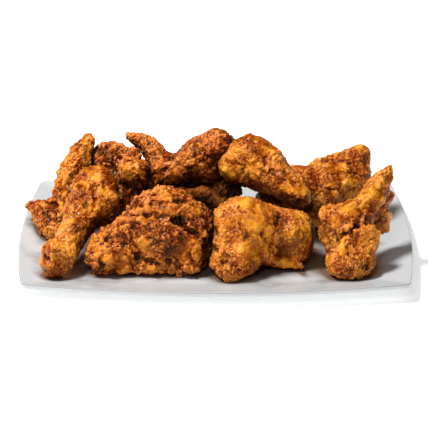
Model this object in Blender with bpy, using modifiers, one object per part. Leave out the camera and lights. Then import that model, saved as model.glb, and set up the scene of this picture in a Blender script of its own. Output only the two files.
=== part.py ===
"""Fried chicken pieces heaped on a white ceramic platter.

Twelve solids: the platter and eleven breaded pieces, each a body of its own.
Frame: +X right, +Y to the back, +Z up, origin on the table under the platter's middle.
Sizes below are in millimetres and are turned into metres by MM.
"""
import math

import bmesh
import bpy
from mathutils import Matrix, Vector

MM = 0.001

# The platter
HALF_WIDTH = 185.0
HALF_DEPTH = 131.0
SIDE_BULGE = 10.0
FRONT_BULGE = 14.0
CORNER_RADIUS = 7.0
CORNER_LIFT = 2.5
FOOT_HEIGHT = 4.0
WELL_TOP = 10.0
LIP_TOP = 16.5
LIP_THICKNESS = 4.0
LIP_ROUND = 1.2
RIM_WIDTH = 36.0
RIM_DIP = 0.4
FOOT_INSET = 52.0
FOOT_WIDTH = 6.0
FOOT_DRAFT = 1.5
SIDE_STEPS = 12
CORNER_STEPS = 3

# The breaded pieces
CONTACT_GAP = 0.35
FLESH_VOXEL = 2.4
SKIN_SMOOTHING = 5
CRAG_SIZE = 15.0
CRAG_HEIGHT = 5.0
CRUMB_SIZE = 6.5
CRUMB_HEIGHT = 2.4
BALL_SEGMENTS = 20
BALL_RINGS = 12
BALL_SPACING = 0.35
RIM_SPACING = 0.5
WELD_REACH = 0.02


def clear_scene():
    for old in list(bpy.data.objects):
        bpy.data.objects.remove(old, do_unlink=True)


def new_collection(name):
    collection = bpy.data.collections.new(name)
    bpy.context.scene.collection.children.link(collection)
    return collection


def finish_material(name, colour, roughness):
    material = bpy.data.materials.new(name)
    material.use_nodes = True
    shader = material.node_tree.nodes["Principled BSDF"]
    shader.inputs["Base Color"].default_value = (*colour, 1.0)
    shader.inputs["Roughness"].default_value = roughness
    shader.inputs["Metallic"].default_value = 0.0
    return material


clear_scene()
serving = new_collection("chicken_serving")

GLAZE = finish_material("white_glaze", (0.86, 0.87, 0.88), 0.15)
BROWN_CRUST = finish_material("brown_crust", (0.42, 0.15, 0.03), 0.45)
GOLDEN_CRUST = finish_material("golden_crust", (0.62, 0.27, 0.04), 0.45)


# The platter: one outline, drawn at several insets and heights
def platter_corner(inset):
    """The arc that rounds the corner at +X +Y, as points of the outline."""
    side_slope = math.atan(2.0 * SIDE_BULGE / HALF_DEPTH)
    front_slope = math.atan(2.0 * FRONT_BULGE / HALF_WIDTH)
    sweep = math.pi / 2 - side_slope - front_slope
    tangent = CORNER_RADIUS * math.tan(sweep / 2)
    corner = Vector((HALF_WIDTH, HALF_DEPTH))
    along_side = Vector((math.sin(side_slope), -math.cos(side_slope)))
    outward = Vector((math.cos(side_slope), math.sin(side_slope)))
    start = corner + along_side * tangent
    centre = start - outward * CORNER_RADIUS
    points = []
    for step in range(CORNER_STEPS + 1):
        angle = side_slope + sweep * step / CORNER_STEPS
        points.append(centre + Vector((math.cos(angle), math.sin(angle))) * CORNER_RADIUS)
    shrink = Vector(((HALF_WIDTH - inset) / HALF_WIDTH, (HALF_DEPTH - inset) / HALF_DEPTH))
    return [Vector((point.x * shrink.x, point.y * shrink.y)) for point in points]


def platter_outline(inset):
    """A rectangle with bowed sides and small round corners, anticlockwise from +X."""
    corner = platter_corner(inset)
    side_end = corner[0]
    front_end = corner[-1]
    quarter = []
    for step in range(SIDE_STEPS // 2):
        share = 2.0 * step / SIDE_STEPS
        bow = SIDE_BULGE * (1.0 - share * share)
        quarter.append(Vector((side_end.x + bow, side_end.y * share)))
    quarter.extend(corner)
    for step in range(SIDE_STEPS // 2):
        share = 1.0 - 2.0 * (step + 1) / SIDE_STEPS
        bow = FRONT_BULGE * (1.0 - share * share)
        quarter.append(Vector((front_end.x * share, front_end.y + bow)))
    half = quarter + [Vector((-point.x, point.y)) for point in reversed(quarter[:-1])]
    return half + [Vector((point.x, -point.y)) for point in reversed(half[1:-1])]


def platter():
    """A shallow platter: flat well, sloping rim with lifted corners, and a foot ring."""
    rings = [
        (FOOT_INSET + FOOT_WIDTH, FOOT_HEIGHT),
        (FOOT_INSET + FOOT_WIDTH, 0.0),
        (FOOT_INSET, 0.0),
        (FOOT_INSET - FOOT_DRAFT, FOOT_HEIGHT),
        (RIM_WIDTH, FOOT_HEIGHT + 1.0),
        (LIP_ROUND, LIP_TOP - LIP_THICKNESS),
        (0.0, LIP_TOP - LIP_THICKNESS + LIP_ROUND),
        (0.0, LIP_TOP - LIP_ROUND),
        (LIP_ROUND, LIP_TOP),
        (RIM_WIDTH / 2, (LIP_TOP + WELL_TOP) / 2 - RIM_DIP),
        (RIM_WIDTH, WELL_TOP),
    ]
    shape = bmesh.new()
    loops = []
    for inset, height in rings:
        lift_share = max(0.0, 1.0 - inset / RIM_WIDTH)
        loop = []
        for point in platter_outline(inset):
            cornerness = abs(point.x / HALF_WIDTH) * abs(point.y / HALF_DEPTH)
            lift = CORNER_LIFT * lift_share * min(1.0, cornerness) ** 2
            loop.append(shape.verts.new(Vector((point.x, point.y, height + lift)) * MM))
        loops.append(loop)
    for lower, upper in zip(loops, loops[1:]):
        count = len(lower)
        for index in range(count):
            following = (index + 1) % count
            shape.faces.new((lower[index], lower[following], upper[following], upper[index]))
    shape.faces.new(list(reversed(loops[0])))
    shape.faces.new(loops[-1])
    bmesh.ops.recalc_face_normals(shape, faces=shape.faces)
    bmesh.ops.triangulate(shape, faces=shape.faces)
    return put_in_scene("platter", shape, GLAZE)


def mesh_of(name, shape):
    mesh = bpy.data.meshes.new(name)
    shape.to_mesh(mesh)
    shape.free()
    return mesh


def put_in_scene(name, shape, material):
    mesh = mesh_of(name, shape)
    mesh.materials.append(material)
    mesh.shade_smooth()
    piece = bpy.data.objects.new(name, mesh)
    serving.objects.link(piece)
    return piece


# The flesh of a piece: overlapping lumps and limbs, fused into one skin
def unit_ball():
    shape = bmesh.new()
    bmesh.ops.create_uvsphere(shape, u_segments=BALL_SEGMENTS, v_segments=BALL_RINGS, radius=1.0)
    return mesh_of("unit_ball", shape)


UNIT_BALL = unit_ball()


def lump(flesh, centre, radii, lean=0.0, roll=0.0, turn=0.0):
    """An ellipsoid; lean tips its top to the back, roll to the right, turn spins it about Z."""
    scale = Matrix.Diagonal(Vector(radii) * MM).to_4x4()
    tilt = (
        Matrix.Rotation(math.radians(turn), 4, "Z")
        @ Matrix.Rotation(math.radians(-lean), 4, "X")
        @ Matrix.Rotation(math.radians(roll), 4, "Y")
    )
    place = Matrix.Translation(Vector(centre) * MM)
    mesh = UNIT_BALL.copy()
    mesh.transform(place @ tilt @ scale)
    flesh.from_mesh(mesh)
    bpy.data.meshes.remove(mesh)


def ball(flesh, centre, radius):
    lump(flesh, centre, (radius, radius, radius))


def limb(flesh, start, end, start_radius, end_radius):
    """A tapering limb between two joints, as a row of overlapping balls."""
    start = Vector(start)
    end = Vector(end)
    smallest = min(start_radius, end_radius)
    count = max(2, math.ceil((end - start).length / (smallest * BALL_SPACING)))
    for step in range(count + 1):
        share = step / count
        ball(flesh, start.lerp(end, share), start_radius + (end_radius - start_radius) * share)


def chain(flesh, joints):
    """Limbs through a row of joints, each a place and a radius."""
    for (start, start_radius), (end, end_radius) in zip(joints, joints[1:]):
        limb(flesh, start, end, start_radius, end_radius)


def curled_rim(flesh, centre, radius, thickness, first, last, lean):
    """A fold of skin that runs as an arc over a piece; angles in degrees from +X."""
    lean = math.radians(lean)
    count = math.ceil(math.radians(abs(last - first)) * radius / (thickness * RIM_SPACING))
    for step in range(count + 1):
        angle = math.radians(first + (last - first) * step / count)
        rise = math.sin(angle) * radius
        offset = Vector((math.cos(angle) * radius, rise * math.sin(lean), rise * math.cos(lean)))
        ball(flesh, Vector(centre) + offset, thickness)


def displaced(piece, kind, size, height):
    texture = bpy.data.textures.new(piece.name + "_" + kind, "CLOUDS")
    texture.noise_scale = size * MM
    texture.noise_depth = 1
    relief = piece.modifiers.new(kind, "DISPLACE")
    relief.texture = texture
    relief.texture_coords = "LOCAL"
    relief.mid_level = 0.5
    relief.strength = height * MM


def evaluated_mesh(piece):
    depsgraph = bpy.context.evaluated_depsgraph_get()
    return bpy.data.meshes.new_from_object(piece.evaluated_get(depsgraph))


def breaded(name, flesh, triangles, material, craggy=1.0):
    """Fuses the flesh, raises the breading's crags and thins the mesh to its budget."""
    raw = put_in_scene(name, flesh, material)
    skin = raw.modifiers.new("skin", "REMESH")
    skin.mode = "VOXEL"
    skin.voxel_size = FLESH_VOXEL * MM
    soften = raw.modifiers.new("soften", "SMOOTH")
    soften.factor = 0.5
    soften.iterations = SKIN_SMOOTHING
    displaced(raw, "crags", CRAG_SIZE, CRAG_HEIGHT * craggy)
    displaced(raw, "crumbs", CRUMB_SIZE, CRUMB_HEIGHT * craggy)
    fused = evaluated_mesh(raw)
    fused.calc_loop_triangles()
    raw.modifiers.clear()
    raw.data = fused
    thin = raw.modifiers.new("thin", "DECIMATE")
    thin.ratio = triangles / len(fused.loop_triangles)
    thin.use_collapse_triangulate = True
    raw.data = evaluated_mesh(raw)
    raw.modifiers.clear()
    return raw


def cutter_object(name, mesh):
    cutter = bpy.data.objects.new(name, mesh)
    cutters.objects.link(cutter)
    cutter.hide_render = True
    cutter.display_type = "WIRE"
    return cutter


def cut_away(piece, cutter):
    cut = piece.modifiers.new("cut", "BOOLEAN")
    cut.operation = "DIFFERENCE"
    cut.object = cutter
    cut.solver = "EXACT"
    piece.data = evaluated_mesh(piece)
    piece.modifiers.clear()


def pit(piece, centre, radii, roll=0.0):
    """A dark hollow between folds of the crust."""
    hollow = bmesh.new()
    lump(hollow, centre, radii, roll=roll)
    mesh = mesh_of(piece.name + "_pit", hollow)
    cut_away(piece, cutter_object(mesh.name, mesh))


def grown_copy(piece):
    """A copy of a piece, larger by the gap that touching pieces keep."""
    cutter = cutter_object(piece.name + "_grown", piece.data.copy())
    for vertex in cutter.data.vertices:
        vertex.co += vertex.normal * CONTACT_GAP * MM
    return cutter


def keep_largest_body(shape):
    """Drops the loose scraps that a cut leaves behind."""
    unseen = set(shape.verts)
    bodies = []
    while unseen:
        seed = unseen.pop()
        body = [seed]
        for vertex in body:
            for edge in vertex.link_edges:
                neighbour = edge.other_vert(vertex)
                if neighbour in unseen:
                    unseen.remove(neighbour)
                    body.append(neighbour)
        bodies.append(body)
    largest = max(bodies, key=len)
    scraps = [vertex for body in bodies if body is not largest for vertex in body]
    bmesh.ops.delete(shape, geom=scraps, context="VERTS")


def boxes_meet(piece, other):
    """Whether two pieces come so near that one may have to give way."""
    near = CONTACT_GAP * MM * 2
    for axis in range(3):
        own = [vertex.co[axis] for vertex in piece.data.vertices]
        others = [vertex.co[axis] for vertex in other.data.vertices]
        if min(own) - near > max(others) or max(own) + near < min(others):
            return False
    return True


def rest_against(piece, neighbours):
    """Presses a piece against what it lies on, leaving the contact gap."""
    for neighbour in neighbours:
        cut_away(piece, grown_copy(neighbour))
    shape = bmesh.new()
    shape.from_mesh(piece.data)
    bmesh.ops.remove_doubles(shape, verts=shape.verts, dist=WELD_REACH * MM)
    bmesh.ops.dissolve_degenerate(shape, edges=shape.edges, dist=WELD_REACH * MM)
    keep_largest_body(shape)
    bmesh.ops.triangulate(shape, faces=shape.faces)
    shape.to_mesh(piece.data)
    shape.free()


cutters = new_collection("cutters")


# The pieces of the front row, which stand on the platter
def thigh_front_left():
    flesh = bmesh.new()
    lump(flesh, (-49, -67, 49), (43, 26, 42), lean=25)
    lump(flesh, (-50, -44, 34), (38, 28, 24))
    lump(flesh, (-106, -82, 29), (22, 19, 19))
    lump(flesh, (-84, -73, 40), (24, 20, 24), roll=-20)
    lump(flesh, (-26, -70, 28), (21, 21, 19))
    lump(flesh, (-11, -60, 46), (13, 20, 27), lean=15)
    lump(flesh, (-109, -80, 36), (18, 16, 17))
    lump(flesh, (-108, -86, 18), (13, 11, 10))
    lump(flesh, (-86, -84, 20), (22, 13, 11))
    lump(flesh, (-62, -86, 19), (22, 13, 12))
    lump(flesh, (-28, -87, 19), (18, 13, 12))
    curled_rim(flesh, (-50, -84, 49), 35, 6, 205, -30, 25)
    thigh = breaded("thigh_front_left", flesh, 1250, BROWN_CRUST)
    pit(thigh, (-36, -88, 65), (8, 10, 4), roll=-10)
    return thigh


def thigh_front_centre():
    flesh = bmesh.new()
    lump(flesh, (28, -66, 50), (35, 27, 31), lean=20)
    lump(flesh, (20, -90, 26), (26, 19, 18))
    lump(flesh, (9, -79, 40), (15, 15, 16))
    lump(flesh, (14, -100, 20), (13, 12, 12))
    ball(flesh, (6, -88, 22), 13)
    lump(flesh, (46, -78, 30), (16, 15, 15))
    lump(flesh, (77, -58, 37), (22, 23, 28), lean=15)
    lump(flesh, (52, -44, 36), (36, 28, 27))
    chain(flesh, [((58, -80, 18), 6), ((72, -80, 17), 5), ((84, -82, 14), 3)])
    return breaded("thigh_front_centre", flesh, 1250, GOLDEN_CRUST, craggy=0.8)


def drumstick_front_left():
    flesh = bmesh.new()
    ball(flesh, (-156, -96, 24), 14)
    ball(flesh, (-150, -92, 25), 12)
    ball(flesh, (-158, -88, 35), 12)
    chain(flesh, [
        ((-152, -90, 26), 15),
        ((-139, -66, 42), 15.5),
        ((-130, -44, 55), 19),
        ((-119, -14, 70), 23),
    ])
    lump(flesh, (-107, -34, 58), (13, 16, 20), lean=30)
    return breaded("drumstick_front_left", flesh, 950, GOLDEN_CRUST, craggy=0.6)


def wing_front_right():
    flesh = bmesh.new()
    lump(flesh, (130, -87, 22), (26, 22, 18))
    lump(flesh, (127, -78, 35), (23, 16, 14))
    lump(flesh, (126, -64, 46), (28, 20, 25))
    lump(flesh, (145, -80, 42), (16, 12, 18))
    limb(flesh, (109, -62, 60), (140, -54, 60), 11, 15)
    chain(flesh, [
        ((140, -54, 60), 15),
        ((148, -48, 67), 14),
        ((158, -40, 81), 13),
        ((168, -34, 94), 7.5),
        ((171, -30, 102), 3.5),
    ])
    chain(flesh, [((160, -42, 64), 8), ((169, -34, 68), 7), ((172, -32, 69), 4.5)])
    chain(flesh, [((150, -46, 52), 12), ((162, -42, 50), 11), ((164, -44, 42), 8.5)])
    wing = breaded("wing_front_right", flesh, 1150, GOLDEN_CRUST, craggy=0.7)
    pit(wing, (132, -88, 55), (17, 9, 2), roll=-25)
    return wing


# The pieces behind and beneath, which prop the top ones up
def drumstick_under():
    flesh = bmesh.new()
    chain(flesh, [
        ((-11, -8, 61), 8),
        ((-24, 8, 51), 10),
        ((-42, 28, 38), 16),
        ((-62, 42, 32), 22),
    ])
    return breaded("drumstick_under", flesh, 600, BROWN_CRUST, craggy=0.7)


def thigh_under():
    flesh = bmesh.new()
    lump(flesh, (-4, 38, 33), (28, 32, 24))
    lump(flesh, (10, 36, 50), (18, 17, 14))
    lump(flesh, (6, 8, 30), (20, 20, 20))
    lump(flesh, (-22, 46, 40), (26, 20, 21))
    return breaded("thigh_under", flesh, 600, BROWN_CRUST)


def wing_back_left():
    flesh = bmesh.new()
    chain(flesh, [
        ((-126, 51, 104), 4.5),
        ((-131, 48, 93), 9.5),
        ((-137, 44, 83), 13.5),
        ((-142, 34, 66), 18),
        ((-149, 24, 44), 16),
        ((-146, 26, 28), 18),
    ])
    chain(flesh, [((-150, 20, 36), 14), ((-168, 14, 36), 10), ((-192, 33, 31), 5.5)])
    chain(flesh, [((-152, 8, 30), 14), ((-164, -4, 20), 11), ((-188, 32, 27), 5)])
    limb(flesh, (-152, 22, 50), (-164, 20, 54), 7, 4)
    return breaded("wing_back_left", flesh, 1000, GOLDEN_CRUST)


def breast_back_left():
    flesh = bmesh.new()
    lump(flesh, (-109, 50, 73), (22, 20, 22))
    chain(flesh, [((-98, 46, 84), 9), ((-83, 44, 82), 9.5)])
    ball(flesh, (-84, 28, 70), 17)
    lump(flesh, (-99, 30, 44), (25, 26, 24))
    lump(flesh, (-102, 44, 28), (30, 28, 19))
    lump(flesh, (-94, 10, 26), (22, 22, 16))
    return breaded("breast_back_left", flesh, 900, BROWN_CRUST, craggy=0.9)


def breast_back_right():
    flesh = bmesh.new()
    ball(flesh, (138, 50, 60), 22)
    lump(flesh, (146, 57, 75), (15, 13, 15))
    lump(flesh, (110, 42, 51), (25, 22, 24))
    ball(flesh, (84, 34, 49), 26)
    lump(flesh, (66, 38, 33), (28, 24, 23))
    lump(flesh, (104, 24, 34), (25, 22, 24))
    lump(flesh, (114, 46, 30), (42, 28, 21))
    chain(flesh, [((97, 56, 67), 5), ((130, 58, 76), 6), ((146, 58, 83), 6)])
    return breaded("breast_back_right", flesh, 950, GOLDEN_CRUST, craggy=0.8)


# The two pieces on top
def wing_back_centre():
    flesh = bmesh.new()
    chain(flesh, [
        ((-91, 63, 98), 4),
        ((-79, 60, 93), 8),
        ((-68, 57, 86), 12),
        ((-58, 50, 76), 13),
        ((-42, 40, 61), 15),
        ((-22, 42, 79), 19.5),
        ((1, 46, 91), 19),
    ])
    lump(flesh, (-55, 37, 63), (20, 16, 18))
    lump(flesh, (-8, 39, 69), (20, 16, 17))
    return breaded("wing_back_centre", flesh, 950, BROWN_CRUST)


def drumstick_top_centre():
    flesh = bmesh.new()
    lump(flesh, (36, 23, 83), (29, 24, 28))
    ball(flesh, (21, 22, 79), 19)
    ball(flesh, (55, 15, 84), 17.5)
    chain(flesh, [
        ((44, 18, 79), 23),
        ((64, 5, 71), 18),
        ((79, -8, 63), 13.5),
        ((85, -13, 61), 11.5),
    ])
    return breaded("drumstick_top_centre", flesh, 900, GOLDEN_CRUST, craggy=0.7)


plate = platter()
front_row = [
    thigh_front_left(),
    thigh_front_centre(),
    drumstick_front_left(),
    wing_front_right(),
]
back_row = [
    thigh_under(),
    drumstick_under(),
    wing_back_left(),
    breast_back_left(),
    breast_back_right(),
]
top_row = [
    wing_back_centre(),
    drumstick_top_centre(),
]
placed = [plate]
for food in front_row + back_row + top_row:
    rest_against(food, [other for other in placed if boxes_meet(food, other)])
    placed.append(food)
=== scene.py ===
import math

import bmesh
import bpy
import numpy as np
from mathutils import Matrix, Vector
from mathutils.bvhtree import BVHTree
from mathutils.kdtree import KDTree


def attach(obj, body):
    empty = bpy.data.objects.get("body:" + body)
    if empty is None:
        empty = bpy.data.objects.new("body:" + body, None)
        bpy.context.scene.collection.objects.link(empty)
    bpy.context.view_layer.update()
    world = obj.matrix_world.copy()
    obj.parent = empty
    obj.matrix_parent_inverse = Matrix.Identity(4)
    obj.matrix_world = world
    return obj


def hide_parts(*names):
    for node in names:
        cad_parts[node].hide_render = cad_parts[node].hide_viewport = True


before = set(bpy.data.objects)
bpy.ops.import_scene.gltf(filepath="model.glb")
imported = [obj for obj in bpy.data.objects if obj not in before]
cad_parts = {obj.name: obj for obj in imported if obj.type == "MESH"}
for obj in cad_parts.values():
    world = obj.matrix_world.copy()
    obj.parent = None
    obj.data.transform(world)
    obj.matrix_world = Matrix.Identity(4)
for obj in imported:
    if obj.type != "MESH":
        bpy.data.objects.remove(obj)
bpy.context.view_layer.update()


# The view and the light.
# A long lens looks down on the platter's long side. A soft lamp stands high on the left, a wide
# one fills from the front, and the room's white walls light the rest.
CAMERA_DROP = math.radians(23.0)
CAMERA_DISTANCE = 2.101
CAMERA_LENS = 176.2
CAMERA_SENSOR = 36.0
LOOK_AT = Vector((-0.0015, 0.0, 0.036))
HEAP_MIDDLE = (0.0, 0.0, 0.04)
ROOM_BRIGHTNESS = 0.1


def lamp(name, place, size, power):
    """A round white lamp of a size in metres and a power in watts, turned to the heap."""
    light = bpy.data.lights.new(name, "AREA")
    light.shape = "DISK"
    light.size = size
    light.energy = power
    holder = bpy.data.objects.new(name, light)
    holder.location = place
    holder.rotation_euler = (Vector(place) - Vector(HEAP_MIDDLE)).to_track_quat("Z", "Y").to_euler()
    bpy.context.scene.collection.objects.link(holder)


sight_line = Vector((0.0, math.cos(CAMERA_DROP), -math.sin(CAMERA_DROP)))
lens = bpy.data.cameras.new("photo_camera")
lens.lens = CAMERA_LENS
lens.sensor_width = CAMERA_SENSOR
camera = bpy.data.objects.new("photo_camera", lens)
camera.location = LOOK_AT - sight_line * CAMERA_DISTANCE
camera.rotation_euler = (-sight_line).to_track_quat("Z", "Y").to_euler()
bpy.context.scene.collection.objects.link(camera)
bpy.context.scene.camera = camera

lamp("left_lamp", (-0.75, -0.1, 1.6), size=0.45, power=44.0)
lamp("front_lamp", (-0.25, -1.6, 1.45), size=0.6, power=9.0)

room = bpy.data.worlds.new("white_room")
room.use_nodes = True
room_light = room.node_tree.nodes["Background"]
room_light.inputs["Color"].default_value = (1.0, 1.0, 1.0, 1.0)
room_light.inputs["Strength"].default_value = ROOM_BRIGHTNESS
bpy.context.scene.world = room
bpy.context.scene.view_settings.view_transform = "Standard"
bpy.context.scene.view_settings.look = "None"


# The table under the platter.
# A plain white sheet that runs far past the platter, and glows a little, so that shadows on it
# stay pale.
TABLE_HALF_WIDTH = 6.0
TABLE_GLOW = 0.44


def finish(name, colour, roughness):
    """A plain material, with its shader to finish further."""
    material = bpy.data.materials.new(name)
    material.use_nodes = True
    shader = material.node_tree.nodes["Principled BSDF"]
    shader.inputs["Base Color"].default_value = (*colour, 1.0)
    shader.inputs["Roughness"].default_value = roughness
    return material, shader


table_finish, table_shader = finish("white_ground", (0.93, 0.93, 0.93), 0.9)
table_shader.inputs["Emission Color"].default_value = (1.0, 1.0, 1.0, 1.0)
table_shader.inputs["Emission Strength"].default_value = TABLE_GLOW
table_shape = bmesh.new()
bmesh.ops.create_grid(table_shape, x_segments=1, y_segments=1, size=TABLE_HALF_WIDTH)
table_mesh = bpy.data.meshes.new("ground")
table_shape.to_mesh(table_mesh)
table_shape.free()
table_mesh.materials.append(table_finish)
table = bpy.data.objects.new("ground", table_mesh)
bpy.context.scene.collection.objects.link(table)


# The platter.
# One piece of white glazed porcelain, pressed in a mould: bowed sides, lifted corners, a wide
# sloping rim round a flat well, and a foot ring. The glaze is glossy and very slightly uneven.
MM = 0.001
PLATTER_HALF_WIDTH = 185.0
PLATTER_HALF_DEPTH = 131.0
SIDE_BULGE = 10.0
FRONT_BULGE = 14.0
CORNER_RADIUS = 7.0
CORNER_LIFT = 2.5
RIM_WIDTH = 36.0
WELL_TOP = 10.0
WELL_EDGE = 20.0
LIP_TOP = 16.5
LIP_THICKNESS = 4.0
FOOT_HEIGHT = 4.0
FOOT_INSET = 52.0
FOOT_WIDTH = 6.0
FOOT_RECESS = 18.0
OUTLINE_STEPS = 40
CORNER_STEPS = 8
WELL_RINGS = 14
GLAZE = (0.545, 0.56, 0.565)
# Brown painted shade for the glaze under the heap.
PAINTED_SHADE_BROWN = (0.10, 0.042, 0.014)
SHELTER_RAYS = 36
SHELTER_REACH = 80.0
SHELTER_START = 1.5
WELD = 0.00001


def platter_outline(inset):
    """A rectangle with bowed sides and small round corners, anticlockwise from +X."""
    side_slope = math.atan(2.0 * SIDE_BULGE / PLATTER_HALF_DEPTH)
    front_slope = math.atan(2.0 * FRONT_BULGE / PLATTER_HALF_WIDTH)
    sweep = math.pi / 2 - side_slope - front_slope
    tangent = CORNER_RADIUS * math.tan(sweep / 2)
    start = Vector((PLATTER_HALF_WIDTH + tangent * math.sin(side_slope),
                    PLATTER_HALF_DEPTH - tangent * math.cos(side_slope)))
    centre = start - Vector((math.cos(side_slope), math.sin(side_slope))) * CORNER_RADIUS
    shrink_x = (PLATTER_HALF_WIDTH - inset) / PLATTER_HALF_WIDTH
    shrink_y = (PLATTER_HALF_DEPTH - inset) / PLATTER_HALF_DEPTH
    corner = []
    for step in range(CORNER_STEPS + 1):
        angle = side_slope + sweep * step / CORNER_STEPS
        corner.append(((centre.x + math.cos(angle) * CORNER_RADIUS) * shrink_x,
                       (centre.y + math.sin(angle) * CORNER_RADIUS) * shrink_y))
    quarter = []
    for step in range(OUTLINE_STEPS):
        share = step / OUTLINE_STEPS
        quarter.append((corner[0][0] + SIDE_BULGE * (1.0 - share * share), corner[0][1] * share))
    quarter.extend(corner)
    for step in range(OUTLINE_STEPS):
        share = 1.0 - (step + 1) / OUTLINE_STEPS
        quarter.append((corner[-1][0] * share, corner[-1][1] + FRONT_BULGE * (1.0 - share * share)))
    half = quarter + [(-x, y) for x, y in reversed(quarter[:-1])]
    return half + [(x, -y) for x, y in reversed(half[1:-1])]


def rounded(start, corner, end, radius, steps=5):
    """Profile points that round one corner between two straight runs."""
    start, corner, end = Vector(start), Vector(corner), Vector(end)
    near = corner + (start - corner).normalized() * radius
    far = corner + (end - corner).normalized() * radius
    points = []
    for step in range(steps + 1):
        share = step / steps
        points.append(near.lerp(corner, share).lerp(corner.lerp(far, share), share))
    return points


def platter_profile():
    """Inset and height from the middle of the underside, round the lip, to the well."""
    corners = [
        (FOOT_INSET + FOOT_WIDTH + FOOT_RECESS, FOOT_HEIGHT),
        (FOOT_INSET + FOOT_WIDTH, FOOT_HEIGHT),
        (FOOT_INSET + FOOT_WIDTH, 0.0),
        (FOOT_INSET, 0.0),
        (FOOT_INSET - 1.5, FOOT_HEIGHT),
        (RIM_WIDTH, FOOT_HEIGHT + 1.0),
        (0.3, LIP_TOP - LIP_THICKNESS),
        (0.0, LIP_TOP - LIP_THICKNESS + 0.5),
        (0.0, LIP_TOP - 0.3),
        (1.0, LIP_TOP),
        (RIM_WIDTH / 2, (LIP_TOP + WELL_TOP) / 2 - 0.4),
        (RIM_WIDTH, WELL_TOP),
        (RIM_WIDTH + WELL_EDGE, WELL_TOP),
    ]
    softness = [0.0, 1.0, 0.8, 0.8, 1.0, 4.0, 0.3, 0.4, 0.6, 0.9, 8.0, 6.0, 0.0]
    profile = [Vector(corners[0])]
    for index in range(1, len(corners) - 1):
        profile += rounded(*corners[index - 1:index + 2], softness[index])
    profile.append(Vector(corners[-1]))
    middle = Vector((PLATTER_HALF_DEPTH - 3.0, WELL_TOP))
    for ring in range(WELL_RINGS):
        profile.append(Vector(corners[-1]).lerp(middle, (ring + 1) / WELL_RINGS))
    return profile


def shape_platter():
    """The profile carried round the outline, with the rim lifted towards the corners."""
    shape = bmesh.new()
    loops = []
    for inset, height in platter_profile():
        lift_share = max(0.0, 1.0 - inset / RIM_WIDTH)
        loop = []
        for x, y in platter_outline(inset):
            cornerness = min(1.0, abs(x / PLATTER_HALF_WIDTH) * abs(y / PLATTER_HALF_DEPTH))
            lift = CORNER_LIFT * lift_share * cornerness ** 2
            loop.append(shape.verts.new(Vector((x, y, height + lift)) * MM))
        loops.append(loop)
    for lower, upper in zip(loops, loops[1:]):
        for index, corner in enumerate(lower):
            following = (index + 1) % len(lower)
            shape.faces.new((corner, lower[following], upper[following], upper[index]))
    shape.faces.new(list(reversed(loops[0])))
    shape.faces.new(loops[-1])
    bmesh.ops.remove_doubles(shape, verts=shape.verts, dist=WELD)
    bmesh.ops.recalc_face_normals(shape, faces=shape.faces)
    return shape


def add(tree, kind, wires=None, **settings):
    """Adds a node; wires maps its inputs to values or to the sockets that feed them."""
    node = tree.nodes.new(kind)
    for setting, value in settings.items():
        setattr(node, setting, value)
    for key, value in (wires or {}).items():
        if isinstance(value, bpy.types.NodeSocket):
            tree.links.new(value, node.inputs[key])
        else:
            node.inputs[key].default_value = value
    return node


def calc(tree, operation, first, second=0.0, third=0.0, clamp=False):
    """One sum on up to three values or sockets."""
    node = add(tree, "ShaderNodeMath", {0: first, 1: second, 2: third}, operation=operation)
    node.use_clamp = clamp
    return node.outputs[0]


def spread(tree, value, low=0.0, high=1.0, to_low=0.0, to_high=1.0):
    """Carries the range low to high over to another range, and holds it there."""
    return add(tree, "ShaderNodeMapRange", {
        "Value": value, "From Min": low, "From Max": high, "To Min": to_low, "To Max": to_high,
    }).outputs[0]


def remember(mesh, name, amount):
    """Stores one amount for each corner of a mesh, for the materials to read."""
    mesh.attributes.new(name, "FLOAT", "POINT").data.foreach_set("value", amount)


def heap_surface():
    """One search tree over the food, to feel how crowded a place in the heap is."""
    corners = []
    faces = []
    for name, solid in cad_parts.items():
        if name == "platter":
            continue
        first = len(corners)
        corners.extend(vertex.co.copy() for vertex in solid.data.vertices)
        faces.extend([first + index for index in face.vertices] for face in solid.data.polygons)
    return BVHTree.FromPolygons(corners, faces)


HEAP = heap_surface()


def closed_in(mesh):
    """How much of the sky over each corner of a mesh the food hides, from nought to one."""
    directions = []
    for step in range(SHELTER_RAYS):
        rise = math.sqrt(1.0 - (step + 0.5) / SHELTER_RAYS)
        run = math.sqrt(1.0 - rise * rise)
        turn = step * math.pi * (3.0 - math.sqrt(5.0))
        directions.append(Vector((math.cos(turn) * run, math.sin(turn) * run, rise)))
    shares = []
    for vertex in mesh.vertices:
        aim = vertex.normal.to_track_quat("Z", "Y")
        start = vertex.co + vertex.normal * SHELTER_START * MM
        met = sum(HEAP.ray_cast(start, aim @ direction, SHELTER_REACH * MM)[0] is not None
                  for direction in directions)
        shares.append(met / SHELTER_RAYS)
    return shares


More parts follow.
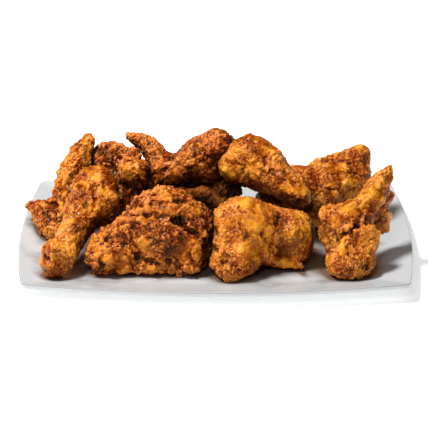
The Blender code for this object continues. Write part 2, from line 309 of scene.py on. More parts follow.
def white_glaze():
    """White glaze, brown with painted shade where the food closes over it."""
    material, shader = finish("white_glaze", GLAZE, 0.16)
    tree = material.node_tree
    place = add(tree, "ShaderNodeTexCoord").outputs["Object"]
    waves = add(tree, "ShaderNodeTexNoise", {
        "Vector": place, "Scale": 22.0, "Detail": 2.0,
    }).outputs["Fac"]
    tree.links.new(spread(tree, waves, to_low=0.12, to_high=0.24), shader.inputs["Roughness"])
    # Painted shade: where the heap closes in over the glaze, it turns brown, with ragged edges.
    closed = add(tree, "ShaderNodeAttribute", attribute_name="shelter").outputs["Fac"]
    ragged = calc(tree, "MULTIPLY_ADD", calc(tree, "SUBTRACT", waves, 0.5), 0.6, closed)
    painted_shade = spread(tree, ragged, 0.28, 0.66, 0.0, 0.9)
    glaze = add(tree, "ShaderNodeMix", {
        0: painted_shade, 6: (*GLAZE, 1.0), 7: (*PAINTED_SHADE_BROWN, 1.0),
    }, data_type="RGBA")
    tree.links.new(glaze.outputs[2], shader.inputs["Base Color"])
    ripple = add(tree, "ShaderNodeBump", {
        "Height": waves, "Strength": 0.06, "Distance": 0.002,
    })
    tree.links.new(ripple.outputs[0], shader.inputs["Normal"])
    shader.inputs["Coat Weight"].default_value = 0.3
    shader.inputs["Coat Roughness"].default_value = 0.06
    return material


platter_mesh = bpy.data.meshes.new("glazed_platter")
platter_shape = shape_platter()
platter_shape.to_mesh(platter_mesh)
platter_shape.free()
platter_mesh.materials.append(white_glaze())
platter_mesh.shade_smooth()
remember(platter_mesh, "shelter", closed_in(platter_mesh))
platter = bpy.data.objects.new("glazed_platter", platter_mesh)
bpy.context.scene.collection.objects.link(platter)
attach(platter, "root")
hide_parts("platter")


# The two thighs that stand in front.
# Bone-in thighs, dredged in seasoned flour and deep fried: the breading has set in crags and
# flakes, with thin golden skin between, and dark hollows that are partly scorching and partly painted
# shade.
SKIN_VOXEL = 1.7
SKIN_SMOOTHING = 5
SHELTER_SPREAD = 3


def skin_of(node):
    """A fine smooth skin over the solid of one piece."""
    shape = bmesh.new()
    shape.from_mesh(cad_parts[node].data)
    bmesh.ops.remove_doubles(shape, verts=shape.verts, dist=WELD)
    mesh = bpy.data.meshes.new("crust_" + node)
    shape.to_mesh(mesh)
    shape.free()
    piece = bpy.data.objects.new("crust_" + node, mesh)
    bpy.context.scene.collection.objects.link(piece)
    round_off = piece.modifiers.new("round_off", "SUBSURF")
    round_off.levels = 1
    round_off.render_levels = 1
    even_out = piece.modifiers.new("even_out", "REMESH")
    even_out.mode = "VOXEL"
    even_out.voxel_size = SKIN_VOXEL * MM
    soften = piece.modifiers.new("soften", "SMOOTH")
    soften.factor = 0.5
    soften.iterations = SKIN_SMOOTHING
    refine = piece.modifiers.new("refine", "SUBSURF")
    refine.levels = 1
    refine.render_levels = 1
    settle(piece)
    return piece


def settle(piece):
    """Turns what the modifiers make into the piece's plain mesh."""
    depsgraph = bpy.context.evaluated_depsgraph_get()
    made = bpy.data.meshes.new_from_object(piece.evaluated_get(depsgraph))
    piece.modifiers.clear()
    piece.data = made
    made.name = piece.name


def corner_places(mesh):
    """The places of a mesh's corners, in millimetres."""
    places = np.empty(len(mesh.vertices) * 3, dtype=np.float32)
    mesh.vertices.foreach_get("co", places)
    return places.reshape(-1, 3) / MM


def paint(piece, name, spots):
    """Stores spots of thin breading, and of scorching mixed with painted shade, from places and radii in
    millimetres.
    """
    mesh = piece.data
    places = corner_places(mesh)
    amount = np.zeros(len(places), dtype=np.float32)
    for centre, radius in spots:
        distance = np.linalg.norm(places - np.array(centre), axis=1) / radius
        amount = np.maximum(amount, np.clip(1.6 * (1.0 - distance), 0.0, 1.0))
    remember(mesh, name, amount)


def shelter(piece, node):
    """Stores how far each place is closed in, read from the nearest corners of the solid."""
    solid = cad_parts[node].data
    closed = closed_in(solid)
    nearby = KDTree(len(solid.vertices))
    for vertex in solid.vertices:
        nearby.insert(vertex.co, vertex.index)
    nearby.balance()
    mesh = piece.data
    amount = np.empty(len(mesh.vertices), dtype=np.float32)
    for vertex in mesh.vertices:
        found = nearby.find_n(vertex.co, SHELTER_SPREAD)
        weights = [1.0 / (distance + MM) for place, index, distance in found]
        total = sum(closed[item[1]] * weight for item, weight in zip(found, weights))
        amount[vertex.index] = total / sum(weights)
    remember(mesh, "shelter", amount)


def fold_skin(piece, folds):
    """Raises ridges and presses creases along paths; places, reach and height in millimetres."""
    mesh = piece.data
    places = corner_places(mesh)
    count = len(places)
    outward = np.empty(count * 3, dtype=np.float32)
    mesh.vertex_normals.foreach_get("vector", outward)
    outward = outward.reshape(-1, 3)
    rise = np.zeros(count, dtype=np.float32)
    waved = places + 1.1 * np.sin(places[:, (1, 2, 0)] * 0.55) + 0.6 * np.sin(places[:, (2, 0, 1)] * 1.3)
    for path, reach, height in folds:
        path = np.array(path if len(path) > 1 else path * 2, dtype=np.float32)
        nearest = np.full(count, 1e9, dtype=np.float32)
        for start, end in zip(path, path[1:]):
            run = end - start
            share = np.clip((waved - start) @ run / max(float(run @ run), 1e-6), 0.0, 1.0)
            nearest = np.minimum(nearest, np.linalg.norm(waved - start - share[:, None] * run, axis=1))
        rise += height * np.clip(1.0 - (nearest / reach) ** 2, 0.0, 1.0) ** 2
    places += outward * rise[:, None]
    mesh.vertices.foreach_set("co", (places * MM).ravel())
    mesh.update()


def breading_tree():
    """Wrinkles, crags and grains on a skin, and flakes of crust scattered over it."""
    tree = bpy.data.node_groups.new("fried_breading", "GeometryNodeTree")
    sockets = {}
    for name, kind in (
        ("Geometry", "Geometry"),
        ("Wrinkle Size", "Float"), ("Wrinkle Height", "Float"),
        ("Crag Size", "Float"), ("Crag Height", "Float"),
        ("Grain Size", "Float"), ("Grain Height", "Float"),
        ("Flake Size", "Float"), ("Flake Density", "Float"),
        ("Bare Share", "Float"), ("Seed", "Int"), ("Crust", "Material"),
    ):
        socket = tree.interface.new_socket(name=name, in_out="INPUT", socket_type="NodeSocket" + kind)
        sockets[name] = socket.identifier
    tree.interface.new_socket(name="Geometry", in_out="OUTPUT", socket_type="NodeSocketGeometry")
    given = tree.nodes.new("NodeGroupInput").outputs
    place = add(tree, "GeometryNodeInputPosition").outputs[0]

    def scaled(vector, by):
        return add(tree, "ShaderNodeVectorMath", {0: vector, "Scale": by}, operation="SCALE").outputs[0]

    def moved(vector, by):
        return add(tree, "ShaderNodeVectorMath", {0: vector, 1: by}, operation="ADD").outputs[0]

    def apart(first, second):
        return add(tree, "ShaderNodeVectorMath", {0: first, 1: second}, operation="SUBTRACT").outputs[0]

    def noise(vector, scale, detail, output="Fac"):
        return add(tree, "ShaderNodeTexNoise", {
            "Vector": vector, "Scale": scale, "Detail": detail,
        }).outputs[output]

    def per(size, count=1.0):
        return calc(tree, "DIVIDE", count, given[size])

    def knobs(vector, scale, smoothness):
        """Rounded knobs about as high as one, with creases between them."""
        distance = add(tree, "ShaderNodeTexVoronoi", {
            "Vector": vector, "Scale": scale, "Smoothness": smoothness,
        }, feature="SMOOTH_F1").outputs["Distance"]
        return calc(tree, "MULTIPLY_ADD", distance, -2.0, 1.0)

    def wrinkles(vector, scale, detail):
        """Rounded swellings that meet in sharp creases."""
        centred = calc(tree, "SUBTRACT", noise(vector, scale, detail), 0.5)
        return calc(tree, "MULTIPLY_ADD", calc(tree, "ABSOLUTE", centred), 7.0, -0.75)

    def wander(vector, scale, reach):
        """A vector that drifts by up to half of reach."""
        return scaled(apart(noise(vector, scale, 2.0, "Color"), (0.5, 0.5, 0.5)), reach)

    seeded = moved(place, scaled((0.137, 0.271, 0.419), given["Seed"]))
    crag_drift = calc(tree, "MULTIPLY", given["Crag Size"], 1.8)
    bent = moved(seeded, wander(seeded, per("Crag Size", 0.6), crag_drift))
    wrinkle_drift = calc(tree, "MULTIPLY", given["Wrinkle Size"], 1.2)
    slow = moved(seeded, wander(seeded, per("Wrinkle Size", 0.7), wrinkle_drift))
    folds = calc(tree, "ADD", wrinkles(slow, per("Wrinkle Size", 0.8), 1.0),
                 calc(tree, "MULTIPLY", wrinkles(slow, per("Wrinkle Size", 2.1), 1.0), 0.45))
    crags = calc(tree, "ADD", calc(tree, "MULTIPLY", knobs(bent, per("Crag Size"), 0.25), 0.9),
                 calc(tree, "MULTIPLY", wrinkles(bent, per("Crag Size", 1.5), 2.0), 0.6))
    grains = knobs(seeded, per("Grain Size"), 0.2)
    painted = add(tree, "GeometryNodeInputNamedAttribute", {"Name": "thin"},
                  data_type="FLOAT").outputs[0]
    share = calc(tree, "MULTIPLY_ADD", given["Bare Share"], 0.35, -0.17)
    patches = noise(seeded, per("Wrinkle Size", 0.55), 1.5)
    stretch = spread(tree, calc(tree, "ADD", patches, share), 0.5, 0.6)
    ragged = calc(tree, "MULTIPLY_ADD", noise(seeded, 170.0, 2.0), 1.2, 0.4)
    bare = calc(tree, "MULTIPLY", calc(tree, "MAXIMUM", painted, stretch), ragged, clamp=True)
    covered = calc(tree, "MULTIPLY_ADD", bare, -0.8, 1.0)
    rise = calc(tree, "MULTIPLY", folds, given["Wrinkle Height"])
    rise = calc(tree, "MULTIPLY_ADD", calc(tree, "MULTIPLY", crags, covered), given["Crag Height"], rise)
    rise = calc(tree, "MULTIPLY_ADD", calc(tree, "MULTIPLY", grains, calc(tree, "MAXIMUM", covered, 0.4)),
                given["Grain Height"], rise)
    normal = add(tree, "GeometryNodeInputNormal").outputs[0]
    outward = scaled(normal, rise)
    sideways = wander(bent, per("Crag Size", 2.2),
                      calc(tree, "MULTIPLY", calc(tree, "MULTIPLY", given["Crag Height"], 1.4), covered))

    def store(geometry, name, value):
        return add(tree, "GeometryNodeStoreNamedAttribute", {
            "Geometry": geometry, "Name": name, "Value": value,
        }, data_type="FLOAT", domain="POINT").outputs[0]

    def proud(turns, depth):
        """How far a point stands over what lies round it, from nought to one about a half."""
        around = add(tree, "GeometryNodeBlurAttribute", {0: place, "Iterations": turns},
                     data_type="FLOAT_VECTOR").outputs[0]
        along = add(tree, "ShaderNodeVectorMath", {0: apart(place, around), 1: normal},
                    operation="DOT_PRODUCT")
        return calc(tree, "MULTIPLY_ADD", along.outputs["Value"], 0.5 / depth, 0.5, clamp=True)

    marked = store(given["Geometry"], "bare", bare)
    marked = store(marked, "grain", calc(tree, "MULTIPLY_ADD", grains, 0.5, 0.5, clamp=True))
    craggy = add(tree, "GeometryNodeSetPosition", {
        "Geometry": marked, "Offset": moved(outward, sideways),
    }).outputs[0]
    craggy = store(craggy, "crest", proud(5, 0.0007))
    craggy = store(craggy, "fold", proud(60, 0.0024))

    density = calc(tree, "MULTIPLY", given["Flake Density"], calc(tree, "SUBTRACT", 1.0, bare))
    scattered = add(tree, "GeometryNodeDistributePointsOnFaces", {
        "Mesh": craggy, "Density": density, "Seed": given["Seed"],
    })
    flake = add(tree, "GeometryNodeMeshIcoSphere", {"Radius": 1.0, "Subdivisions": 1}).outputs[0]
    flake = store(store(flake, "grain", 0.7), "crest", 0.75)
    tilt = add(tree, "FunctionNodeRandomValue", {
        0: (-0.7, -0.7, -3.14), 1: (0.7, 0.7, 3.14), "Seed": given["Seed"],
    }, data_type="FLOAT_VECTOR").outputs[0]
    turned = add(tree, "FunctionNodeRotateRotation", {
        "Rotation": scattered.outputs["Rotation"],
        "Rotate By": add(tree, "FunctionNodeEulerToRotation", {0: tilt}).outputs[0],
    }, rotation_space="LOCAL").outputs[0]
    spans = add(tree, "FunctionNodeRandomValue", {
        0: (0.5, 0.4, 0.2), 1: (1.4, 1.0, 0.5), "Seed": calc(tree, "ADD", given["Seed"], 7.0),
    }, data_type="FLOAT_VECTOR").outputs[0]
    size = scaled(spans, given["Flake Size"])
    laid = add(tree, "GeometryNodeInstanceOnPoints", {
        "Points": scattered.outputs["Points"], "Instance": flake, "Rotation": turned, "Scale": size,
    }).outputs[0]
    flakes = add(tree, "GeometryNodeRealizeInstances", {0: laid}).outputs[0]
    crumple = wander(seeded, per("Flake Size", 0.9), calc(tree, "MULTIPLY", given["Flake Size"], 1.5))
    flakes = add(tree, "GeometryNodeSetPosition", {"Geometry": flakes, "Offset": crumple}).outputs[0]
    joined = add(tree, "GeometryNodeJoinGeometry")
    tree.links.new(craggy, joined.inputs[0])
    tree.links.new(flakes, joined.inputs[0])
    smooth = add(tree, "GeometryNodeSetShadeSmooth", {"Geometry": joined.outputs[0]}).outputs[0]
    realized = add(tree, "GeometryNodeRealizeInstances", {0: smooth}).outputs[0]
    dressed = add(tree, "GeometryNodeSetMaterial", {
        "Geometry": realized, "Material": given["Crust"],
    }).outputs[0]
    result = tree.nodes.new("NodeGroupOutput")
    tree.links.new(dressed, result.inputs[0])
    return tree, sockets


BREADING, BREADING_SOCKETS = breading_tree()


def crust_finish(name, tones, skin_tones, scorched_and_shaded, painted_shade_tone,
                 roughness=0.32, gloss=0.3, oil_film=0.16):
    """Fried breading: golden on the crests, yellow where it is thin, and dark in the creases, partly with
    painted shade.
    """
    material, shader = finish(name, tones[1], roughness)
    tree = material.node_tree
    place = add(tree, "ShaderNodeTexCoord").outputs["Object"]

    def marked(attribute):
        return add(tree, "ShaderNodeAttribute", attribute_name=attribute).outputs["Fac"]

    def noise(scale, detail, seed=0.0):
        return add(tree, "ShaderNodeTexNoise", {
            "Vector": place, "Scale": scale, "Detail": detail, "W": seed,
        }, noise_dimensions="4D").outputs["Fac"]

    def blend(amount, first, second, kind="MIX"):
        node = add(tree, "ShaderNodeMix", {0: amount, 6: first, 7: second}, data_type="RGBA",
                   blend_type=kind)
        return node.outputs[2]

    def ramp(value, colours, places=(0.12, 0.42, 0.82)):
        node = add(tree, "ShaderNodeValToRGB", {0: value})
        stops = node.color_ramp.elements
        stops[0].position, stops[0].color = places[0], (*colours[0], 1.0)
        stops[1].position, stops[1].color = places[2], (*colours[2], 1.0)
        centre = stops.new(places[1])
        centre.color = (*colours[1], 1.0)
        return node.outputs[0]

    # Crests run light and folds run dark, partly the crust's own browning and partly painted shade in the
    # hollows; speckles, grains and broad regions break the tone up.
    crest = marked("crest")
    fold = marked("fold")
    bare = marked("bare")
    speckle = spread(tree, noise(480.0, 3.0), 0.3, 0.7, -0.5, 0.5)
    tone = calc(tree, "MULTIPLY_ADD", crest, 0.36, calc(tree, "MULTIPLY_ADD", fold, 0.50, 0.05))
    tone = calc(tree, "MULTIPLY_ADD", speckle, 0.20, tone)
    tone = calc(tree, "MULTIPLY_ADD", calc(tree, "SUBTRACT", marked("grain"), 0.5), 0.12, tone)
    region = spread(tree, noise(48.0, 3.0, 1.3), 0.36, 0.64, -0.20, 0.20)
    # Bright specks, partly light crumbs and partly painted glints of light on the oil.
    crumb_and_glint_specks = spread(tree, noise(850.0, 1.0, 7.0), 0.60, 0.70, 0.0, 0.30)
    dark_specks = spread(tree, noise(750.0, 1.0, 8.0), 0.62, 0.72, 0.0, -0.08)
    tone = calc(tree, "ADD", tone, calc(tree, "ADD", crumb_and_glint_specks, dark_specks))
    tone = calc(tree, "ADD", tone, region, clamp=True)
    crusty = ramp(tone, tones)
    # Thin skin has its own smoother, yellower tones, also darker in the folds with painted shade.
    stretched = calc(tree, "MULTIPLY_ADD", crest, 0.4, calc(tree, "MULTIPLY", marked("thin"), 0.16))
    smooth_tone = calc(tree, "MULTIPLY_ADD", fold, 0.6, stretched)
    smooth_tone = calc(tree, "MULTIPLY_ADD", speckle, 0.16, smooth_tone, clamp=True)
    smooth = ramp(calc(tree, "ADD", smooth_tone, region, clamp=True), skin_tones)
    colour = blend(calc(tree, "MULTIPLY", bare, 0.9), crusty, smooth)
    # Scorched places, and places darkened with painted shade, are browned in patches, and broad patches
    # are ruddy.
    patchy = calc(tree, "ADD", marked("scorch_and_shade"), spread(tree, noise(330.0, 3.0, 4.0), 0.3, 0.7, -0.7, 0.5))
    scorch_and_shade_amount = calc(tree, "MULTIPLY", spread(tree, patchy, 0.2, 0.7),
                 spread(tree, crest, 0.25, 0.85, 0.95, 0.42))
    colour = blend(scorch_and_shade_amount, colour, (*scorched_and_shaded, 1.0))
    ruddy = spread(tree, noise(48.0, 2.0, 9.0), 0.48, 0.66, 0.0, 0.8)
    colour = blend(ruddy, colour, (0.86, 0.66, 0.5, 1.0), "MULTIPLY")
    # Painted shade: deep folds, and places that the heap closes over, are darkened.
    hollow = spread(tree, fold, 0.0, 0.38, 0.7, 0.0)
    colour = blend(hollow, colour, (*tones[0], 1.0))
    heap_painted_shade = spread(tree, marked("shelter"), 0.26, 0.72, 0.0, 0.90)
    colour = blend(heap_painted_shade, colour, (*painted_shade_tone, 1.0))
    tree.links.new(colour, shader.inputs["Base Color"])
    # A film of oil lies unevenly over a fine crumb.
    oil = spread(tree, noise(380.0, 2.0, 3.0), 0.35, 0.65, roughness - 0.16, roughness + 0.14)
    tree.links.new(oil, shader.inputs["Roughness"])
    crumb = add(tree, "ShaderNodeBump", {
        "Height": noise(720.0, 3.0, 5.0), "Strength": 0.85, "Distance": 0.001,
    })
    tree.links.new(crumb.outputs[0], shader.inputs["Normal"])
    shader.inputs["Specular IOR Level"].default_value = gloss
    shader.inputs["Specular Tint"].default_value = (1.0, 0.62, 0.14, 1.0)
    shader.inputs["Coat Weight"].default_value = oil_film
    shader.inputs["Coat Roughness"].default_value = 0.2
    shader.inputs["Coat Tint"].default_value = (1.0, 0.88, 0.62, 1.0)
    return material


GOLDEN = crust_finish(
    "golden_crust",
    tones=((0.042, 0.0030, 0.0005), (0.295, 0.041, 0.0008), (0.88, 0.335, 0.052)),
    skin_tones=((0.10, 0.011, 0.0005), (0.47, 0.112, 0.001), (0.90, 0.385, 0.033)),
    scorched_and_shaded=(0.12, 0.020, 0.001), painted_shade_tone=(0.030, 0.004, 0.0005),
)
BROWN = crust_finish(
    "brown_crust",
    tones=((0.030, 0.0020, 0.0005), (0.222, 0.0265, 0.0008), (0.79, 0.265, 0.050)),
    skin_tones=((0.08, 0.008, 0.0005), (0.36, 0.070, 0.001), (0.80, 0.275, 0.028)),
    scorched_and_shaded=(0.070, 0.010, 0.003), painted_shade_tone=(0.022, 0.003, 0.0005),
)
# A copy of the crust darkened with painted shade, for the pieces that lie in shadow deep in the heap.
SHADED_CRUST = crust_finish(
    "shaded_crust",
    tones=((0.012, 0.002, 0.001), (0.08, 0.014, 0.001), (0.28, 0.08, 0.010)),
    skin_tones=((0.04, 0.008, 0.001), (0.17, 0.042, 0.003), (0.34, 0.11, 0.012)),
    scorched_and_shaded=(0.02, 0.005, 0.002), painted_shade_tone=(0.016, 0.003, 0.001),
    roughness=0.55, gloss=0.2, oil_film=0.05,
)


def bread(node, material, wrinkles, crags, grains, flakes, bare, seed,
          folds=(), thin=(), scorched_and_shaded=()):
    """Breads one piece.

    Wrinkles, crags and grains are a size and a height, and flakes a size and how many lie on a
    square centimetre. A fold is a path, its reach and its height, and thin spots, and spots of
    scorching mixed with painted shade, are a place and a radius. Lengths are in millimetres.
    """
    piece = skin_of(node)
    fold_skin(piece, folds)
    shelter(piece, node)
    paint(piece, "thin", thin)
    paint(piece, "scorch_and_shade", scorched_and_shaded)
    made = piece.modifiers.new("breading", "NODES")
    made.node_group = BREADING
    values = {
        "Wrinkle Size": wrinkles[0] * MM, "Wrinkle Height": wrinkles[1] * MM,
        "Crag Size": crags[0] * MM, "Crag Height": crags[1] * MM,
        "Grain Size": grains[0] * MM, "Grain Height": grains[1] * MM,
        "Flake Size": flakes[0] * MM, "Flake Density": flakes[1] / (10.0 * MM) ** 2,
        "Bare Share": bare, "Seed": seed, "Crust": material,
    }
    for name, value in values.items():
        made[BREADING_SOCKETS[name]] = value
    settle(piece)
    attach(piece, "root")
    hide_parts(node)


bread(
    "thigh_front_left", BROWN,
    wrinkles=(16.0, 2.2), crags=(7.0, 1.7), grains=(2.1, 0.3), flakes=(1.5, 1.0), bare=0.42, seed=1,
    folds=(
        (((-80, -62, 74), (-65, -66, 84), (-49, -62, 88), (-32, -66, 84), (-20, -70, 74),
         (-13, -79, 63),), 7, 3.2),
        (((-20, -53, 80), (-8, -54, 74), (-1, -57, 64),), 15, -4.5),
        (((-77, -75, 76), (-58, -76, 80), (-42, -75, 81), (-29, -72, 81),), 4, -2.4),
        (((-94, -80, 60), (-82, -80, 68), (-65, -81, 71), (-51, -85, 70), (-42, -82, 64),), 4, -2.0),
        (((-40, -80, 63), (-30, -86, 63),), 5, -5.0),
        (((-28, -88, 57), (-18, -87, 53),), 3, -2.0),
        (((-50, -91, 58), (-42, -93, 51), (-44, -97, 37), (-48, -95, 26),), 4, -1.7),
        (((-82, -95, 39), (-73, -91, 29), (-63, -93, 25), (-52, -94, 24),), 4, -1.7),
        (((-110, -99, 30), (-108, -96, 17),), 3, -2.4),
        (((-88, -94, 34),), 3, -1.8),
        (((-118, -83, 43), (-105, -90, 44), (-100, -86, 49),), 3, -1.4),
        (((-73, -93, 17), (-58, -93, 19),), 5, 2.0),
        (((-19, -89, 49), (-23, -94, 33),), 5, 1.5),
    ),
    thin=(
        ((-71, -92, 43), 11), ((-23, -92, 40), 13), ((-104, -99, 32), 10), ((-91, -96, 30), 8),
        ((-49, -71, 85), 9), ((-63, -95, 18), 8),
    ),
    # Some of these spots darken places that lie in shade: painted shade.
    scorched_and_shaded=(
        ((-56, -95, 45), 13), ((-44, -96, 38), 13), ((-111, -86, 44), 8), ((-107, -98, 24), 6),
        ((-74, -91, 26), 8), ((-53, -79, 78), 6), ((-34, -82, 62), 8), ((-11, -80, 58), 10),
        ((-12, -83, 38), 12), ((-114, -94, 15), 6), ((-10, -62, 70), 14), ((-20, -53, 76), 12),
    ),
)
bread(
    "thigh_front_centre", GOLDEN,
    wrinkles=(18.0, 1.3), crags=(3.8, 0.7), grains=(1.7, 0.4), flakes=(1.1, 2.0), bare=0.35, seed=2,
    folds=(
        (((64, -49, 61), (59, -74, 59), (58, -81, 48), (55, -86, 38), (54, -90, 29),), 4, -2.8),
        (((46, -89, 51), (50, -86, 45),), 4, -2.8),
        (((22, -77, 76), (28, -81, 73),), 3, -1.6),
        (((-2, -78, 52), (3, -86, 52),), 4, -2.0),
        (((-2, -89, 37), (1, -94, 38),), 3, -2.0),
        (((9, -99, 38), (12, -102, 37),), 3, -1.8),
        (((6, -104, 30), (15, -108, 30), (23, -110, 25), (20, -111, 20),), 3, -2.4),
        (((22, -108, 18), (26, -107, 19),), 4, 1.8),
        (((26, -89, 63), (29, -93, 48),), 4, -1.2),
        (((41, -73, 76), (45, -85, 64), (52, -85, 53),), 6, 1.2),
    ),
    thin=(
        ((43, -86, 62), 20), ((44, -76, 73), 12), ((38, -96, 40), 17), ((48, -88, 46), 17),
        ((30, -71, 80), 12), ((85, -62, 61), 6),
    ),
    scorched_and_shaded=(
        ((29, -93, 53), 8), ((10, -103, 35), 10), ((39, -101, 24), 8), ((72, -80, 36), 15),
        ((-2, -90, 38), 5), ((91, -56, 54), 6), ((61, -76, 50), 5), ((-3, -86, 46), 6),
        ((82, -74, 46), 12), ((88, -64, 34), 12), ((64, -84, 28), 8),
    ),
)


# The drumsticks.
# One stands at the front left with its knuckle on the rim, one lies on top of the heap, and
# the knuckle of a third shows in the dark below. Their skin is smoother than a thigh's.
bread(
    "drumstick_front_left", GOLDEN,
    wrinkles=(15.0, 1.3), crags=(4.0, 0.55), grains=(1.7, 0.35), flakes=(1.0, 1.0), bare=0.2, seed=3,
    folds=(
        (((-133, -33, 81), (-127, -48, 74), (-124, -55, 68), (-125, -63, 61), (-121, -64, 52),),
         6, -1.6),
        (((-116, -34, 82), (-118, -47, 72), (-119, -58, 63),), 4, -0.9),
        (((-112, -21, 90), (-113, -38, 78), (-114, -48, 67), (-116, -56, 58),), 5, 1.8),
        (((-130, -16, 91), (-129, -32, 84),), 2.5, -1.0),
        (((-123, -15, 92), (-122, -41, 79),), 2.5, -1.0),
        (((-138, -31, 79), (-140, -54, 68), (-141, -71, 58),), 5, 1.2),
        (((-164, -100, 34), (-160, -104, 32),), 3.5, -4.0),
        (((-164, -104, 28), (-157, -105, 31), (-149, -106, 25),), 3, -1.5),
        (((-133, -77, 52), (-128, -74, 50),), 3, -1.8),
        (((-107, -47, 66), (-104, -50, 52),), 3, -1.0),
    ),
    thin=(
        ((-110, -38, 77), 7), ((-110, -50, 59), 6), ((-153, -102, 35), 6),
        ((-137, -70, 58), 4), ((-118, -26, 89), 9),
    ),
    scorched_and_shaded=(
        ((-126, -54, 69), 6), ((-118, -61, 49), 9), ((-135, -76, 53), 10), ((-104, -46, 69), 7),
        ((-138, -101, 29), 8), ((-162, -102, 33), 4), ((-159, -106, 24), 5), ((-152, -100, 34), 12),
        ((-142, -64, 62), 9), ((-130, -76, 50), 4), ((-131, -81, 40), 8), ((-128, -42, 78), 4),
    ),
)
bread(
    "drumstick_top_centre", GOLDEN,
    wrinkles=(14.0, 1.3), crags=(3.8, 0.6), grains=(1.7, 0.4), flakes=(1.1, 1.6), bare=0.4, seed=4,
    folds=(
        (((46, 21, 105), (50, 2, 94), (46, -7, 76),), 4, -1.6),
        (((29, 4, 93), (28, 1, 81),), 3, -1.4),
        (((10, 10, 88), (24, 3, 88),), 4, -1.2),
        (((54, -5, 85), (60, -8, 80),), 3, -1.8),
        (((72, -18, 63), (80, -23, 61), (90, -23, 56),), 4, -2.4),
        (((24, 10, 65),), 3, -1.6),
    ),
    thin=(
        ((12, 6, 79), 16), ((31, 0, 81), 11), ((52, 11, 101), 9), ((69, -17, 69), 10),
    ),
    scorched_and_shaded=(
        ((38, 7, 100), 6), ((29, 2, 89), 4), ((81, -23, 58), 8), ((56, -7, 82), 5),
        ((42, -1, 65), 8), ((91, -22, 61), 6), ((68, -6, 84), 7),
    ),
)
# Its crust is the copy darkened with painted shade.
bread(
    "drumstick_under", SHADED_CRUST,
    wrinkles=(14.0, 1.2), crags=(6.0, 0.8), grains=(2.2, 0.3), flakes=(1.5, 0.8), bare=0.3, seed=5,
)


# The thigh underneath.
# It fills the middle of the platter, and only its crumbed shoulder shows, darkened with painted shade.
bread(
    "thigh_under", SHADED_CRUST,
    wrinkles=(14.0, 2.0), crags=(6.0, 1.4), grains=(2.3, 0.4), flakes=(1.9, 2.0), bare=0.1, seed=6,
)


# The whole wings.
# Each has its three joints and the pointed tip left on, and folds at the elbow as it fries.
bread(
    "wing_front_right", GOLDEN,
    wrinkles=(14.0, 1.8), crags=(3.9, 0.7), grains=(1.7, 0.4), flakes=(1.1, 1.6), bare=0.35, seed=7,
    folds=(
        (((120, -85, 47), (127, -81, 52), (135, -80, 56), (145, -78, 58), (153, -64, 55),), 3.5, -3.2),
        (((117, -82, 52), (125, -81, 58), (133, -79, 62), (144, -71, 63), (152, -63, 64),), 4, 1.8),
        (((126, -87, 46), (127, -96, 38),), 3, -2.0),
        (((135, -85, 53), (131, -90, 42), (133, -100, 33),), 3, 1.4),
        (((153, -84, 53), (155, -86, 39), (150, -96, 31),), 3, 1.2),
        (((142, -91, 50), (144, -92, 40),), 3, -1.2),
        (((141, -102, 25), (146, -101, 22),), 4, -4.0),
        (((123, -102, 29), (131, -103, 27), (138, -102, 29),), 3, -2.0),
        (((128, -103, 19), (132, -103, 18),), 5, 1.5),
        (((120, -72, 67), (132, -67, 71), (146, -59, 76),), 4, 1.2),
        (((157, -55, 49), (162, -52, 54),), 3, -2.0),
    ),
    thin=(
        ((144, -92, 45), 7), ((115, -76, 60), 9), ((130, -67, 71), 11),
    ),
    # Some of these spots darken places that lie in shade: painted shade.
    scorched_and_shaded=(
        ((137, -78, 62), 6), ((153, -61, 70), 6), ((144, -102, 23), 6), ((126, -92, 42), 4),
        ((111, -84, 44), 10), ((108, -76, 50), 14), ((112, -82, 34), 14), ((167, -40, 91), 9),
        ((164, -52, 51), 9), ((132, -81, 54), 4), ((116, -88, 53), 11), ((128, -104, 23), 11),
        ((150, -98, 27), 10), ((138, -102, 28), 9),
    ),
)
bread(
    "wing_back_left", GOLDEN,
    wrinkles=(12.0, 1.8), crags=(5.4, 1.3), grains=(2.0, 0.35), flakes=(1.5, 1.6), bare=0.3, seed=8,
    folds=(
        (((-139, 19, 74), (-146, 17, 66), (-152, 13, 57),), 4, -2.4),
        (((-132, 40, 95), (-136, 30, 84), (-142, 22, 77),), 4, 1.4),
        (((-168, 10, 44), (-161, 6, 42),), 4, -4.0),
        (((-168, 3, 34), (-162, 3, 38), (-156, -4, 37), (-161, -6, 32),), 3, 1.8),
        (((-177, 13, 39), (-174, 5, 32), (-171, -8, 27),), 3, -1.8),
        (((-166, -4, 31), (-160, -8, 31),), 3, -2.4),
    ),
    thin=(
        ((-130, 36, 86), 7), ((-156, 5, 44), 6), ((-154, -4, 37), 5),
    ),
    scorched_and_shaded=(
        ((-149, 14, 59), 7), ((-164, 8, 42), 6), ((-160, -7, 32), 5), ((-172, 6, 35), 6),
        ((-143, 18, 70), 5), ((-156, 10, 50), 5),
    ),
)
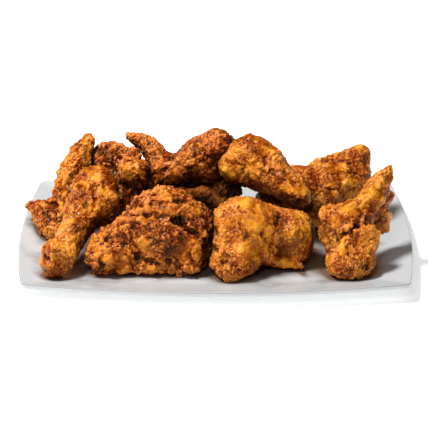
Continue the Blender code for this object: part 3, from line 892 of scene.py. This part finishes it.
bread(
    "wing_back_centre", BROWN,
    wrinkles=(12.0, 1.5), crags=(4.2, 1.0), grains=(1.9, 0.35), flakes=(1.3, 2.4), bare=0.2, seed=9,
    folds=(
        (((-44, 38, 81), (-50, 25, 71), (-56, 24, 59),), 4, -2.0),
        (((-77, 52, 85), (-64, 39, 79), (-58, 25, 71),), 3, 1.0),
        (((-31, 26, 84), (-18, 28, 94), (-4, 35, 102),), 4, 1.4),
        (((-26, 24, 72), (-10, 25, 84), (0, 30, 93),), 3, -1.4),
    ),
    thin=(
        ((-40, 25, 65), 10), ((-58, 23, 66), 7), ((-18, 23, 77), 6),
    ),
    scorched_and_shaded=(
        ((-66, 48, 94), 7), ((-54, 44, 86), 6), ((-21, 29, 94), 6), ((0, 31, 76), 9),
        ((-16, 30, 63), 9), ((13, 38, 101), 7),
    ),
)


# The breast pieces behind.
# Thick chunks of breast on the rib, crumbed all round, with smooth skin where they are stretched.
bread(
    "breast_back_left", BROWN,
    wrinkles=(14.0, 1.9), crags=(5.6, 1.3), grains=(2.0, 0.35), flakes=(1.5, 1.6), bare=0.35, seed=10,
    folds=(
        (((-104, 34, 78), (-98, 18, 66), (-88, 14, 59),), 4, -2.0),
        (((-98, 37, 83), (-88, 25, 84), (-76, 24, 81),), 3, -1.8),
        (((-80, 15, 78), (-76, 15, 67),), 3, -1.2),
        (((-95, 42, 88), (-84, 43, 88),), 4, 1.6),
        (((-76, 24, 62), (-75, 26, 54),), 13, 3.5),
    ),
    thin=(
        ((-86, 13, 76), 17), ((-98, 25, 72), 9), ((-72, 16, 72), 10),
    ),
    scorched_and_shaded=(
        ((-113, 42, 89), 10), ((-106, 34, 81), 6), ((-94, 8, 53), 14), ((-81, 17, 53), 10),
    ),
)
bread(
    "breast_back_right", GOLDEN,
    wrinkles=(14.0, 1.6), crags=(3.8, 0.75), grains=(1.7, 0.4), flakes=(1.2, 2.0), bare=0.35, seed=11,
    folds=(
        (((112, 55, 76), (129, 55, 81),), 3, 1.2),
        (((98, 51, 70), (114, 50, 74), (131, 41, 78),), 3, -1.4),
        (((136, 35, 75), (140, 29, 63), (138, 32, 49),), 4, -1.6),
        (((131, 41, 78), (130, 30, 63), (132, 30, 44),), 5, 1.5),
        (((91, 20, 65), (103, 21, 58), (115, 18, 55),), 3, -1.6),
        (((107, 15, 56), (118, 21, 56),), 3, 1.2),
    ),
    thin=(
        ((132, 29, 61), 10), ((138, 32, 49), 7), ((126, 36, 74), 8), ((122, 18, 49), 8),
    ),
    # Some of these spots darken places that lie in shade: painted shade.
    scorched_and_shaded=(
        ((92, 12, 68), 9), ((99, 8, 51), 12), ((113, 8, 50), 15), ((142, 32, 69), 6),
        ((151, 46, 76), 8), ((103, 4, 41), 12), ((154, 37, 62), 6),
    ),
)
